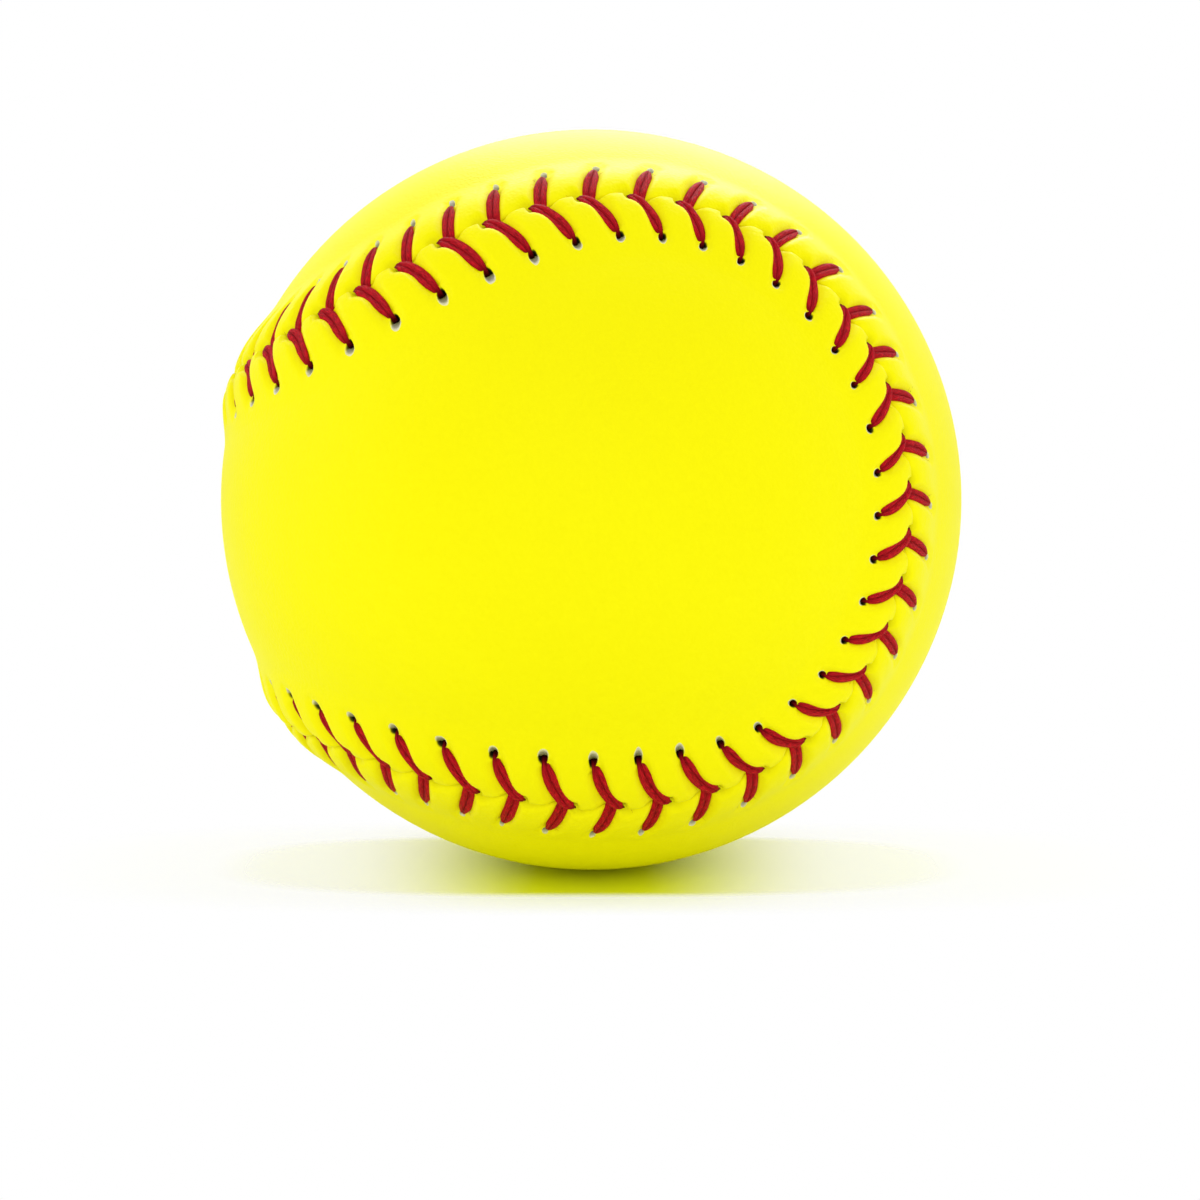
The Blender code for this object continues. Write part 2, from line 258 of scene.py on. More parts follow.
class PanelMesh:
    """Closed shell that grows row by row, with marks for its shape and its material."""

    def __init__(self, side):
        self.side = side
        self.points, self.marks, self.faces = [], [], []
        self.count = 0

    def row(self, points, inset=1.0, leg=1.0, crease=0.0, backing=0.0):
        """New row of points; the marks are distances in metres and shares."""
        marks = np.zeros((len(points), 4))
        marks[:, 0], marks[:, 1], marks[:, 2], marks[:, 3] = inset, leg, crease, backing
        self.points.append(points)
        self.marks.append(marks)
        self.count += len(points)
        return np.arange(self.count - len(points), self.count)

    def seam_row(self, along, inset, drop=0.0, crease=0.0):
        """Row beside the seam, at an inset from the groove."""
        true_inset = groove(along, inset, self.side)
        points = on_ball(along, true_inset, self.side, drop)
        leg = from_leg(along, true_inset, self.side)
        return self.row(points, inset, leg, crease)

    def strip(self, lower, upper, skip=()):
        """Quads between two rows of equal length."""
        size = len(lower)
        for number in range(size):
            if number not in skip:
                after = (number + 1) % size
                self.faces.append((lower[number], lower[after], upper[after], upper[number]))

    def thin(self, many, few):
        """Triangles from a row to one with fewer points."""
        step = len(many) // len(few)
        middle = step // 2
        for number in range(len(few)):
            ring = [many[(number * step + place) % len(many)] for place in range(step + 1)]
            ends = few[number], few[(number + 1) % len(few)]
            for place in range(step):
                self.faces.append((ring[place], ring[place + 1], ends[place >= middle]))
            self.faces.append((ring[middle], ends[1], ends[0]))

    def close(self, ring, border, radius):
        """Triangles from the last ring to the spine."""
        angles = np.linspace(-LOBE_REACH, LOBE_REACH, SPINE_POINTS)
        spine = self.row(spine_direction(angles, self.side) * radius)
        share = (spine_angle(border, self.side) / LOBE_REACH + 1) / 2
        partners = np.rint(share * (SPINE_POINTS - 1)).astype(int)
        for number in range(len(ring)):
            after = (number + 1) % len(ring)
            first, last = partners[number], partners[after]
            step = 1 if last >= first else -1
            path = [spine[place] for place in range(first, last + step, step)]
            self.faces.append((ring[number], ring[after], path[-1]))
            for place in range(len(path) - 1):
                self.faces.append((ring[number], path[place + 1], path[place]))

    def lobes(self, ring, border, radius):
        """Rows over the flat of the panel to its spine."""
        for number in range(1, LOBE_ROWS + 1):
            row = self.row(lobe_row(border, self.side, number / (LOBE_ROWS + 1), radius))
            if len(ring) == len(row):
                self.strip(ring, row)
            else:
                self.thin(ring, row)
            ring = row
        self.close(ring, border, radius)

    def punch(self, rows, stitch):
        """Needle hole in the gap that is left for it, with its torn, pale far wall."""
        hole_along, hole_inset = LEG_HOLE[self.side]
        size = len(rows[0])
        wide, high = HOLE_COLUMNS, HOLE_ROWS
        scale = HOLE_LENGTH[self.side] / HOLE_LENGTH[1]
        half_length = HOLE_LENGTH[self.side] * (HOLE_SHORTEST + HOLE_STRETCH * drawn[stitch])
        creep = HOLE_CREEP * scale * (1 - drawn[stitch])
        border = ([(place, -high) for place in range(-wide, wide)]
                  + [(wide, place) for place in range(-high, high)]
                  + [(place, high) for place in range(wide, -wide, -1)]
                  + [(-wide, place) for place in range(high, -high, -1)])
        column = stitch * COLUMNS_PER_STITCH
        before = np.array([rows[down + high][(column + across) % size] for across, down in border])
        column_step = PITCH / COLUMNS_PER_STITCH
        angles = np.array([math.atan2(down * HOLE_STEP, across * column_step)
                           for across, down in border])
        torn = tear[self.side][stitch] * smooth(
            (np.sin(angles + HOLE_LEAN) - TORN_FROM) / TORN_RAMP)
        ragged = (1 + RAGGED * np.sin(3 * angles + 2.4 * stitch)
                  + RAGGED / 2 * np.sin(5 * angles + stitch))
        for width, drop, dark, pale, shift in HOLE_RINGS:
            narrow = 1 - HOLE_NARROWING * (1 - width) if drop < 0 else width
            across = HOLE_WIDTH[self.side] * narrow * ragged * np.cos(angles)
            down = half_length * width * ragged * np.sin(angles) - shift * scale - creep
            along = (stitch * PITCH + hole_along + across * math.cos(HOLE_LEAN)
                     - down * math.sin(HOLE_LEAN))
            inset = hole_inset + across * math.sin(HOLE_LEAN) + down * math.cos(HOLE_LEAN)
            depth = drop * (1 - FAR_WALL_RISE * torn * (drop < 0))
            points = on_ball(along, inset, self.side, depth)
            leg = from_leg(along, inset, self.side)
            # Deep in the hole the ring gets painted shade, less of it where the far wall is torn
            ring = self.row(points, inset, leg, dark * (1 - FAR_WALL_PALE * torn), torn * pale)
            self.strip(before, ring)
            before = ring
        self.faces.append(tuple(before))


def cover_panel(name, side):
    """Mesh of one panel: edge wall, ridge, needle holes, lobes and inner skin."""
    panel = PanelMesh(side)
    hole_along, hole_inset = LEG_HOLE[side]
    columns = np.arange(STITCH_COUNT * COLUMNS_PER_STITCH)
    along = columns * PITCH / COLUMNS_PER_STITCH + hole_along
    few = along[::COLUMN_THINNING]
    border = on_ball(few, RIDGE_WIDTH, side)
    first_hole = hole_inset - HOLE_ROWS * HOLE_STEP
    edge_insets = [first_hole * (row / EDGE_ROWS) ** EDGE_CROWDING for row in range(1, EDGE_ROWS)]
    hole_insets = [hole_inset + row * HOLE_STEP for row in range(-HOLE_ROWS, HOLE_ROWS + 1)]
    foot_step = (RIDGE_WIDTH - hole_insets[-1]) / FOOT_ROWS
    foot_insets = [hole_insets[-1] + row * foot_step for row in range(1, FOOT_ROWS + 1)]
    edge = panel.seam_row(along, *WALL_ROWS[0])
    before = edge
    # The wall down into the groove gets painted shade
    for inset, drop, dark in WALL_ROWS[1:]:
        row = panel.seam_row(along, inset, drop, dark)
        panel.strip(before, row)
        before = row
    gap = set()
    for hole in range(0, len(along), COLUMNS_PER_STITCH):
        gap |= {(hole + place) % len(along) for place in range(-HOLE_COLUMNS, HOLE_COLUMNS)}
    hole_rows = []
    for inset in (*edge_insets, *hole_insets, *foot_insets):
        row = panel.seam_row(along, inset)
        panel.strip(before, row, gap if hole_rows and inset in hole_insets else ())
        if inset in hole_insets:
            hole_rows.append(row)
        before = row
    for stitch in range(STITCH_COUNT):
        panel.punch(hole_rows, stitch)
    panel.lobes(before, border, BALL_RADIUS)
    outside = len(panel.faces)
    before = edge
    for inset in INNER_INSETS:
        row = panel.seam_row(few, inset, -LEATHER_THICKNESS)
        if before is edge:
            panel.thin(before, row)
        else:
            panel.strip(before, row)
        before = row
    panel.lobes(before, border, BALL_RADIUS - LEATHER_THICKNESS)
    faces = panel.faces[:outside] + [face[::-1] for face in panel.faces[outside:]]
    mesh = bpy.data.meshes.new(name)
    mesh.from_pydata(np.concatenate(panel.points).tolist(), [],
                     [tuple(int(corner) for corner in face) for face in faces])
    marks = np.concatenate(panel.marks).astype(np.float32)
    for column, label in enumerate(("inset", "from_leg", "crease", "backing")):
        mesh.attributes.new(label, "FLOAT", "POINT").data.foreach_set("value", marks[:, column])
    return mesh


def face_outwards(mesh):
    """Turn a closed mesh's faces outwards, going by its signed volume."""
    mesh.calc_loop_triangles()
    corners = np.zeros(len(mesh.loop_triangles) * 3, int)
    mesh.loop_triangles.foreach_get("vertices", corners)
    places = np.zeros(len(mesh.vertices) * 3)
    mesh.vertices.foreach_get("co", places)
    a, b, c = places.reshape(-1, 3)[corners.reshape(-1, 3)].transpose(1, 0, 2)
    if np.einsum("ij,ij->i", a, np.cross(b, c)).sum() < 0:
        mesh.flip_normals()


def add_node(tree, kind, settings=None, **inputs):
    """Node of a tree, with its settings and the values or links of its inputs."""
    node = tree.nodes.new(kind)
    for label, value in (settings or {}).items():
        setattr(node, label, value)
    for label, value in inputs.items():
        numbered = label[0] == "i" and label[1:].isdigit()
        socket = node.inputs[int(label[1:])] if numbered else node.inputs[label.replace("_", " ")]
        if isinstance(value, bpy.types.NodeSocket):
            tree.links.new(value, socket)
        else:
            socket.default_value = value
    return node


def maths(tree, operation, first, second=0.0, third=0.0, clamp=False):
    """Result of a math node."""
    settings = {"operation": operation, "use_clamp": clamp}
    node = add_node(tree, "ShaderNodeMath", settings, i0=first, i1=second, i2=third)
    return node.outputs[0]


def eased(tree, value, first, last, start=0.0, end=1.0):
    """Value that eases from a start to an end while another goes from first to last."""
    return add_node(tree, "ShaderNodeMapRange", {"interpolation_type": "SMOOTHSTEP"},
                    Value=value, From_Min=first, From_Max=last, To_Min=start,
                    To_Max=end).outputs["Result"]


def start_tree(name, inputs):
    """Geometry node tree with named inputs, and the sockets that they come in by."""
    tree = bpy.data.node_groups.new(name, "GeometryNodeTree")
    tree.interface.new_socket("Geometry", in_out="INPUT", socket_type="NodeSocketGeometry")
    for label, kind in inputs:
        tree.interface.new_socket(label, in_out="INPUT", socket_type="NodeSocket" + kind)
    tree.interface.new_socket("Geometry", in_out="OUTPUT", socket_type="NodeSocketGeometry")
    return tree, tree.nodes.new("NodeGroupInput").outputs


def end_tree(tree, geometry, material):
    """Last nodes of a tree: real meshes with their material."""
    real = add_node(tree, "GeometryNodeRealizeInstances", Geometry=geometry)
    painted = add_node(tree, "GeometryNodeSetMaterial", Geometry=real.outputs[0],
                       Material=material)
    leave = tree.nodes.new("NodeGroupOutput")
    tree.links.new(painted.outputs[0], leave.inputs[0])


def bake_tree(piece, tree, values):
    """Run a tree on a piece and keep the result as the piece's own plain mesh."""
    modifier = piece.modifiers.new(tree.name, "NODES")
    modifier.node_group = tree
    for item in tree.interface.items_tree:
        if item.in_out == "INPUT" and item.name in values:
            modifier[item.identifier] = values[item.name]
    graph = bpy.context.evaluated_depsgraph_get()
    result = bpy.data.meshes.new_from_object(piece.evaluated_get(graph), depsgraph=graph,
                                             preserve_all_data_layers=True)
    piece.modifiers.remove(modifier)
    piece.data = result
    result.name = piece.name


def marked(tree, label, kind="FLOAT"):
    """Value that a mesh carries under a name."""
    return add_node(tree, "GeometryNodeInputNamedAttribute", {"data_type": kind},
                    Name=label).outputs[0]


def pucker_tree():
    """Tree that puffs the leather up along the seam and sinks it under the stitches."""
    tree, entry = start_tree("puckered_edge", (
        ("Crest Rise", "Float"), ("Crest Inset", "Float"), ("Edge Share", "Float"),
        ("Slope Inset", "Float"), ("Ridge Width", "Float"), ("Trough Depth", "Float"),
        ("Trough Width", "Float"), ("Material", "Material")))
    inset = marked(tree, "inset")
    to_crest = maths(tree, "DIVIDE", inset, entry["Crest Inset"])
    before_crest = maths(tree, "SUBTRACT", 1.0, to_crest, clamp=True)
    rolled = maths(tree, "POWER", before_crest, 3.0)
    lost = maths(tree, "SUBTRACT", 1.0, entry["Edge Share"])
    edge = maths(tree, "SUBTRACT", 1.0, maths(tree, "MULTIPLY", rolled, lost))
    slope = eased(tree, inset, entry["Slope Inset"], entry["Ridge Width"], start=1.0, end=0.0)
    puff = maths(tree, "MULTIPLY", edge, slope)
    away = maths(tree, "DIVIDE", marked(tree, "from_leg"), entry["Trough Width"])
    sunk = maths(tree, "EXPONENT", maths(tree, "MULTIPLY", maths(tree, "POWER", away, 3.0), -1.0))
    left = maths(tree, "SUBTRACT", 1.0, maths(tree, "MULTIPLY", sunk, entry["Trough Depth"]))
    rise = maths(tree, "MULTIPLY", maths(tree, "MULTIPLY", puff, left), entry["Crest Rise"])
    place = add_node(tree, "GeometryNodeInputPosition").outputs[0]
    outwards = add_node(tree, "ShaderNodeVectorMath", {"operation": "NORMALIZE"}, i0=place)
    offset = add_node(tree, "ShaderNodeVectorMath", {"operation": "SCALE"},
                      i0=outwards.outputs[0], Scale=rise)
    moved = add_node(tree, "GeometryNodeSetPosition", Geometry=entry["Geometry"],
                     Offset=offset.outputs[0])
    end_tree(tree, moved.outputs[0], entry["Material"])
    return tree


def new_material(name, colour, roughness):
    """Principled material, with its tree and shader."""
    material = bpy.data.materials.new(name)
    material.use_nodes = True
    tree = material.node_tree
    shader = tree.nodes["Principled BSDF"]
    shader.inputs["Base Color"].default_value = (*colour, 1)
    shader.inputs["Roughness"].default_value = roughness
    return material, tree, shader


def mix_colour(tree, share, first, second):
    """Colour between two colours or sockets."""
    mix = add_node(tree, "ShaderNodeMix", {"data_type": "RGBA"}, i0=share)
    for socket, value in ((mix.inputs[6], first), (mix.inputs[7], second)):
        if isinstance(value, bpy.types.NodeSocket):
            tree.links.new(value, socket)
        else:
            socket.default_value = (*value, 1)
    return mix.outputs[2]


def carried(tree, label, output="Fac"):
    """Value that a piece's mesh carries under a name, for its material."""
    node = add_node(tree, "ShaderNodeAttribute", {"attribute_name": label})
    return node.outputs[output]


def emboss(tree, shader, height, strength, distance):
    """Fine relief of a surface."""
    bump = add_node(tree, "ShaderNodeBump", Strength=strength, Distance=distance, Height=height)
    tree.links.new(bump.outputs["Normal"], shader.inputs["Normal"])


def leather_material():
    """Yellow leather: pebble grain, wrinkles where it is drawn in, painted shade in the groove and
    the needle holes, pale backing.
    """
    material, tree, shader = new_material("cover_leather", (0.93, 0.875, 0.002), 0.46)
    place = add_node(tree, "ShaderNodeTexCoord").outputs["Object"]
    blotch = add_node(tree, "ShaderNodeTexNoise", Vector=place, Scale=45.0, Detail=4.0)
    tone = mix_colour(tree, blotch.outputs["Fac"], (0.94, 0.865, 0.0002), (0.96, 0.90, 0.0004))
    weave = add_node(tree, "ShaderNodeTexNoise", Vector=place, Scale=3000.0, Detail=2.0)
    cloth = mix_colour(tree, weave.outputs["Fac"], (0.45, 0.42, 0.32), (0.98, 0.96, 0.88))
    skin = mix_colour(tree, carried(tree, "backing"), tone, cloth)
    # Near-black painted shade in the groove between the panels and down in the needle holes
    tree.links.new(mix_colour(tree, carried(tree, "crease"), skin, (0.022, 0.020, 0.011)),
                   shader.inputs["Base Color"])
    grain = add_node(tree, "ShaderNodeTexVoronoi", {"feature": "SMOOTH_F1"}, Vector=place,
                     Scale=2300.0, Smoothness=0.6)
    fine = add_node(tree, "ShaderNodeTexNoise", Vector=place, Scale=5200.0, Detail=3.0)
    wrinkle = add_node(tree, "ShaderNodeTexNoise", Vector=place, Scale=800.0, Detail=4.0,
                       Distortion=0.6)
    strain = add_node(tree, "ShaderNodeMapRange", Value=carried(tree, "inset"),
                      From_Max=RIDGE_WIDTH, To_Min=1.6, To_Max=0.3)
    wrinkles = maths(tree, "MULTIPLY", wrinkle.outputs["Fac"], strain.outputs["Result"])
    pebbles = maths(tree, "MULTIPLY_ADD", fine.outputs["Fac"], 0.35, grain.outputs["Distance"])
    relief = maths(tree, "ADD", wrinkles, pebbles)
    emboss(tree, shader, relief, strength=0.32, distance=0.00012)
    gloss = add_node(tree, "ShaderNodeMapRange", Value=blotch.outputs["Fac"], To_Min=0.42,
                     To_Max=0.50)
    tree.links.new(gloss.outputs["Result"], shader.inputs["Roughness"])
    shader.inputs["Specular IOR Level"].default_value = 0.07
    return material


leather = leather_material()
pucker = pucker_tree()
for side, word in ((1, "front"), (-1, "back")):
    mesh = cover_panel("leather_" + word, side)
    piece = bpy.data.objects.new("leather_" + word, mesh)
    bpy.context.scene.collection.objects.link(piece)
    bake_tree(piece, pucker, {
        "Crest Rise": CREST_RISE[side], "Crest Inset": CREST_INSET,
        "Edge Share": EDGE_SHARE[side], "Slope Inset": SLOPE_INSET, "Ridge Width": RIDGE_WIDTH,
        "Trough Depth": TROUGH_DEPTH, "Trough Width": TROUGH_WIDTH, "Material": leather})
    face_outwards(piece.data)
    piece.data.shade_smooth()
    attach(piece, "root")
    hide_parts("cover_panel_" + word)

# The lacing is waxed thread of two flat plies. Two needles work it round the whole seam: each
# leg comes up through its hole, lies sunk in the leather and goes down in the seam, and the
# front leg of each stitch crosses over the end of the back one.

LEG_WIDTH = {1: 0.00196, -1: 0.00168}
LEG_THICKNESS = 0.00085
LEG_RINGS = 18
RING_CROWDING = 1.3                 # rings lie closer together towards the hole
LEG_START = 0.950                   # where a leg dives into its hole, of the way from its tip
THINNEST = 0.4                      # share of the leg's thickness that its narrow ends keep
PLY_SIDES = 8
PLY_TURN = math.radians(50)
PLY_APART = 0.24                    # shares of the leg's width or thickness
PLY_WIDTH = 0.28
PLY_DEPTH = 0.42
# Painted shade on a leg: near the hole, at the point, in the valley between the plies
BURIED_SHARE = {1: 0.075, -1: 0.03}
POINT_SHARE = 0.16
POINT_DARKNESS = 0.8
VALLEY_WIDTH = 0.07
VALLEY_DARKNESS = 0.30
LEG_SEED = 11
FIBRES_PER_LEG = 7
FIBRE_LENGTH = 0.0006
FIBRE_WIDTH = 0.000035
FIBRE_TAPER = 0.7
FIBRE_BEND = 0.4
FIBRE_RINGS = 4
FIBRE_SIDES = 3
FIBRE_DARKNESS = 0.35
FIBRE_ROOT = 0.48                   # from the middle of the leg, as a share of its width
FIBRE_STRAY = 0.0009                # how far its end strays along the leg
FIBRE_SEED = 31
FUZZ_SEED = 7
# Outline and height of a leg: share of its length from the hole, share of its width, rise
LEG_SHAPE = {
    1: ((0.0, 0.40, -0.0007), (0.03, 0.44, 0.00006), (0.07, 0.56, 0.00036), (0.15, 0.76, 0.00042),
        (0.26, 0.94, 0.00042), (0.38, 1.0, 0.00042), (0.54, 1.0, 0.00046), (0.70, 0.96, 0.00066),
        (0.85, 0.70, 0.00080), (0.95, 0.34, 0.00082), (1.0, 0.10, 0.00070)),
    -1: ((0.0, 0.16, -0.0005), (0.03, 0.22, 0.00018), (0.08, 0.40, 0.00038),
         (0.24, 0.82, 0.00042), (0.42, 1.0, 0.00042), (0.82, 0.95, 0.00040),
         (1.0, 0.85, 0.00000)),
}


def leg_mesh(side, name):
    """One leg of a stitch along X, with its hole at the low end and Z off the ball."""
    share = np.linspace(0, 1, LEG_RINGS) ** RING_CROWDING
    along, inset = leg_path(side, LEG_START * (1 - share))
    shape = np.array(LEG_SHAPE[side])
    width = np.interp(share, shape[:, 0], shape[:, 1]) * LEG_WIDTH[side]
    rise = np.interp(share, shape[:, 0], shape[:, 2])
    start = np.array([along[0], inset[0]])
    chord = np.array([along[-1], inset[-1]]) - start
    length = np.linalg.norm(chord)
    chord /= length
    x = (along - start[0]) * chord[0] + (inset - start[1]) * chord[1] - length / 2
    y = ((inset - start[1]) * chord[0] - (along - start[0]) * chord[1]) * side
    centre = np.stack([x, y, rise - (x ** 2 + y ** 2) / (2 * BALL_RADIUS)], axis=1)
    forward = np.gradient(centre, axis=0)
    forward /= np.linalg.norm(forward, axis=1, keepdims=True)
    sideways = np.cross([0, 0, 1], forward)
    sideways /= np.linalg.norm(sideways, axis=1, keepdims=True)
    upwards = np.cross(forward, sideways)
    depth = LEG_THICKNESS * np.clip(width / LEG_WIDTH[side], THINNEST, 1)
    points, faces, strands, shades = [], [], [], []
    for ply in (0, 1):
        first = len(points)
        for ring in range(LEG_RINGS):
            turn = math.pi * ply + PLY_TURN * (share[ring] - 0.5)
            middle = (centre[ring] + sideways[ring] * math.cos(turn) * width[ring] * PLY_APART
                      + upwards[ring] * math.sin(turn) * depth[ring] * PLY_APART)
            for corner in range(PLY_SIDES):
                angle = 2 * math.pi * corner / PLY_SIDES
                points.append(middle + sideways[ring] * math.cos(angle) * width[ring] * PLY_WIDTH
                              + upwards[ring] * math.sin(angle) * depth[ring] * PLY_DEPTH)
                strands += [share[ring] * length, corner / PLY_SIDES, ply]
                # Painted shade: where the leg dives into its hole, at the point of a front leg,
                # between the plies
                aside = math.cos(turn) * PLY_APART + math.cos(angle) * PLY_WIDTH
                valley = math.exp(-(aside / VALLEY_WIDTH) ** 2)
                buried = max(0, 1 - share[ring] / BURIED_SHARE[side])
                point = max(0, 1 - (1 - share[ring]) / POINT_SHARE) if side == 1 else 0
                shades.append(max(buried, POINT_DARKNESS * point, VALLEY_DARKNESS * valley))
        for ring in range(LEG_RINGS - 1):
            low = first + ring * PLY_SIDES
            for corner in range(PLY_SIDES):
                after = (corner + 1) % PLY_SIDES
                faces.append((low + corner, low + after, low + PLY_SIDES + after,
                              low + PLY_SIDES + corner))
        faces.append(tuple(first + corner for corner in reversed(range(PLY_SIDES))))
        last = first + (LEG_RINGS - 1) * PLY_SIDES
        faces.append(tuple(last + corner for corner in range(PLY_SIDES)))
    mesh = bpy.data.meshes.new(name)
    mesh.from_pydata([tuple(point) for point in points], [], faces)
    mesh.attributes.new("strand", "FLOAT_VECTOR", "POINT").data.foreach_set("vector", strands)
    mesh.attributes.new("dark", "FLOAT", "POINT").data.foreach_set("value", shades)
    mesh.shade_smooth()
    return mesh, length


def fibre_mesh(name):
    """One loose fibre that stands out along X and bends up."""
    points, faces = [], []
    for step in range(FIBRE_RINGS):
        reach = step / (FIBRE_RINGS - 1)
        thickness = FIBRE_WIDTH / 2 * (1 - FIBRE_TAPER * reach)
        for corner in range(FIBRE_SIDES):
            angle = 2 * math.pi * corner / FIBRE_SIDES
            points.append((FIBRE_LENGTH * reach, thickness * math.cos(angle),
                           FIBRE_LENGTH * FIBRE_BEND * reach ** 2 + thickness * math.sin(angle)))
    last = FIBRE_SIDES * (FIBRE_RINGS - 1)
    for low in range(0, last, FIBRE_SIDES):
        high = low + FIBRE_SIDES
        for corner in range(FIBRE_SIDES):
            after = (corner + 1) % FIBRE_SIDES
            faces.append((low + corner, low + after, high + after, high + corner))
    faces += [tuple(reversed(range(FIBRE_SIDES))), tuple(range(last, last + FIBRE_SIDES))]
    mesh = bpy.data.meshes.new(name)
    mesh.from_pydata(points, [], faces)
    mesh.attributes.new("strand", "FLOAT_VECTOR", "POINT")
    shades = [FIBRE_DARKNESS] * len(points)
    mesh.attributes.new("dark", "FLOAT", "POINT").data.foreach_set("value", shades)
    return mesh


def points_object(name, places, directions, ups, stretches):
    """Bare points that carry what a tree needs to place its copies."""
    mesh = bpy.data.meshes.new(name)
    mesh.from_pydata([tuple(place) for place in places], [], [])
    for label, values in (("direction", directions), ("up", ups)):
        attribute = mesh.attributes.new(label, "FLOAT_VECTOR", "POINT")
        attribute.data.foreach_set("vector", np.asarray(values, np.float32).ravel())
    attribute = mesh.attributes.new("stretch", "FLOAT", "POINT")
    attribute.data.foreach_set("value", np.asarray(stretches, np.float32))
    piece = bpy.data.objects.new(name, mesh)
    bpy.context.scene.collection.objects.link(piece)
    return piece


def fibres_object(name, stitches, side):
    """Points for the fibres that have worked loose from the edges of the legs."""
    number = len(stitches) * FIBRES_PER_LEG
    share = fuzz.uniform(0.05, 0.95, number)
    edge = fuzz.choice((-1, 1), number) * LEG_WIDTH[side] * FIBRE_ROOT
    along, inset = leg_path(side, LEG_START * share)
    along = along + np.repeat(stitches, FIBRES_PER_LEG)
    shape = np.array(LEG_SHAPE[side])
    rise = np.interp(1 - share, shape[:, 0], shape[:, 2])
    roots = on_ball(along + edge, inset, side, rise)
    ends = on_ball(along + 2 * edge, inset + fuzz.normal(0, FIBRE_STRAY, number), side, rise)
    reach = np.linalg.norm(ends - roots, axis=1)[:, None]
    ups = roots / np.linalg.norm(roots, axis=1, keepdims=True)
    return points_object(name, roots, (ends - roots) / reach, ups,
                         fuzz.uniform(0.5, 1.5, number))


def copies_tree(name):
    """Tree that sets a copy of an object on each point, turned and sized by its marks."""
    tree, entry = start_tree(name, (("Source", "Object"), ("Unevenness", "Float"),
                                    ("Seed", "Int"), ("Material", "Material")))
    source = add_node(tree, "GeometryNodeObjectInfo", {"transform_space": "ORIGINAL"},
                      Object=entry["Source"])
    turn = add_node(tree, "FunctionNodeAxesToRotation",
                    {"primary_axis": "Z", "secondary_axis": "X"},
                    i0=marked(tree, "up", "FLOAT_VECTOR"),
                    i1=marked(tree, "direction", "FLOAT_VECTOR"))
    uneven = add_node(tree, "FunctionNodeRandomValue", {"data_type": "FLOAT"},
                      i2=maths(tree, "SUBTRACT", 1.0, entry["Unevenness"]),
                      i3=maths(tree, "ADD", 1.0, entry["Unevenness"]), i8=entry["Seed"])
    size = add_node(tree, "ShaderNodeCombineXYZ", X=marked(tree, "stretch"),
                    Y=uneven.outputs[1], Z=uneven.outputs[1])
    copies = add_node(tree, "GeometryNodeInstanceOnPoints", Points=entry["Geometry"],
                      Instance=source.outputs["Geometry"], Rotation=turn.outputs[0],
                      Scale=size.outputs[0])
    shade = add_node(tree, "FunctionNodeRandomValue", {"data_type": "FLOAT"}, i8=entry["Seed"])
    shaded = add_node(tree, "GeometryNodeStoreNamedAttribute",
                      {"data_type": "FLOAT", "domain": "INSTANCE"},
                      Geometry=copies.outputs[0], Name="shade", Value=shade.outputs[1])
    end_tree(tree, shaded.outputs[0], entry["Material"])
    return tree


def thread_material():
    """Waxed crimson thread: fibres along each ply, lighter on top than in the painted shade between
    the plies, near the hole and at the point.
    """
    material, tree, shader = new_material("waxed_thread", (0.47, 0.012, 0.026), 0.52)
    stretched = add_node(tree, "ShaderNodeVectorMath", {"operation": "MULTIPLY"},
                         i0=carried(tree, "strand", "Vector"), i1=(1500.0, 60.0, 7.0))
    seeded = add_node(tree, "ShaderNodeCombineXYZ",
                      X=maths(tree, "MULTIPLY", carried(tree, "shade"), 40.0))
    moved = add_node(tree, "ShaderNodeVectorMath", {"operation": "ADD"},
                     i0=stretched.outputs[0], i1=seeded.outputs[0])
    fibres = add_node(tree, "ShaderNodeTexNoise", Vector=moved.outputs[0], Scale=1.0, Detail=5.0,
                      Distortion=0.5)
    ramp = add_node(tree, "ShaderNodeValToRGB", Fac=fibres.outputs["Fac"])
    ramp.color_ramp.elements[0].position = 0.36
    ramp.color_ramp.elements[0].color = (0.17, 0.001, 0.004, 1)
    ramp.color_ramp.elements[1].position = 0.64
    ramp.color_ramp.elements[1].color = (0.84, 0.012, 0.030, 1)
    # Near-black painted shade on the legs; the loose fibres are darkened evenly too
    shaded = mix_colour(tree, carried(tree, "dark"), ramp.outputs["Color"], (0.03, 0.001, 0.002))
    tree.links.new(shaded, shader.inputs["Base Color"])
    emboss(tree, shader, fibres.outputs["Fac"], strength=0.9, distance=0.00014)
    shader.inputs["Specular IOR Level"].default_value = 0.06
    return material


